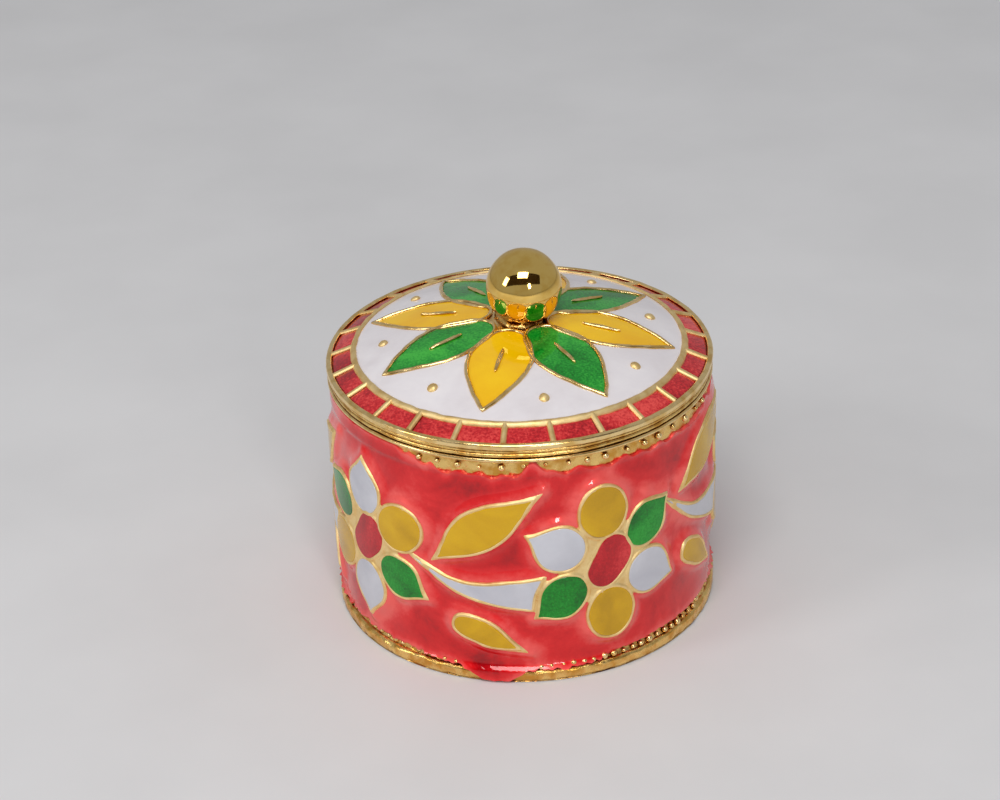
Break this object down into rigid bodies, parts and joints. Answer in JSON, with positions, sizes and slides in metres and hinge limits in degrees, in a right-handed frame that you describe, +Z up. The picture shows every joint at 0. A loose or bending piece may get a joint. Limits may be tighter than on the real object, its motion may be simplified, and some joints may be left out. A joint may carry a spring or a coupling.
{
  "type": "pill box",
  "caption": "Small round enamelled brass pill box with relief flowers on its wall and a domed lift-off lid with a ball knob.",
  "frame": {"origin": "centre of the foot ring's underside, on the box's axis, where the box stands", "axes": "+Z up along the box's axis, -Y the front"},
  "size_m": [0.0286, 0.0286, 0.0273],
  "materials": {
    "gold_plated_brass": "gold-plated cast brass, satin with bright edges",
    "polished_gold_ball": "mirror polished gold plate",
    "plain_brass": "turned brass",
    "red_enamel": "glossy translucent enamel over textured metal",
    "yellow_enamel": "glossy opaque enamel",
    "green_enamel": "glossy translucent enamel",
    "white_enamel": "glossy opaque enamel"
  },
  "bodies": {
    "box": {"base_plate": "plain_brass", "flower_1_green_petals": "green_enamel", "flower_1_red_centre": "red_enamel", "flower_1_white_petals_and_leaves": "white_enamel", "flower_1_yellow_petals_and_leaves": "yellow_enamel", "flower_2_green_petals": "green_enamel", "flower_2_red_centre": "red_enamel", "flower_2_white_petals_and_leaves": "white_enamel", "flower_2_yellow_petals_and_leaves": "yellow_enamel", "flower_3_green_petals": "green_enamel", "flower_3_red_centre": "red_enamel", "flower_3_white_petals_and_leaves": "white_enamel", "flower_3_yellow_petals_and_leaves": "yellow_enamel", "flower_4_green_petals": "green_enamel", "flower_4_red_centre": "red_enamel", "flower_4_white_petals_and_leaves": "white_enamel", "flower_4_yellow_petals_and_leaves": "yellow_enamel", "flower_5_green_petals": "green_enamel", "flower_5_red_centre": "red_enamel", "flower_5_white_petals_and_leaves": "white_enamel", "flower_5_yellow_petals_and_leaves": "yellow_enamel", "foot_bead_wire": "gold_plated_brass", "foot_ring": "gold_plated_brass", "red_ground_enamel": "red_enamel", "top_bead_wire": "gold_plated_brass", "top_border_ring": "gold_plated_brass", "wall_band": "gold_plated_brass"},
    "lid_washer": {"knob_washer": "plain_brass"},
    "lid": {"knob_ball": "polished_gold_ball", "knob_pin": "plain_brass", "knob_seat": "gold_plated_brass", "lid_flange": "plain_brass", "lid_granules": "gold_plated_brass", "lid_petal_1_yellow": "yellow_enamel", "lid_petal_2_green": "green_enamel", "lid_petal_3_yellow": "yellow_enamel", "lid_petal_4_green": "green_enamel", "lid_petal_5_yellow": "yellow_enamel", "lid_petal_6_green": "green_enamel", "lid_petal_7_yellow": "yellow_enamel", "lid_petal_8_green": "green_enamel", "lid_plate": "gold_plated_brass", "lid_red_tiles": "red_enamel", "lid_rim_wire": "gold_plated_brass", "lid_skirt_ring": "gold_plated_brass", "lid_white_field": "white_enamel"}
  },
  "joints": [
    {"name": "lid_lift", "type": "slide", "parent": "box", "child": "lid_washer", "axis": [0, 0, 1], "range_m": [0, 0.026]},
    {"name": "lid_turn", "type": "hinge", "parent": "lid_washer", "child": "lid", "pos_m": [0, 0, 0.0203], "axis": [0, 0, 1], "continuous": true}
  ]
}
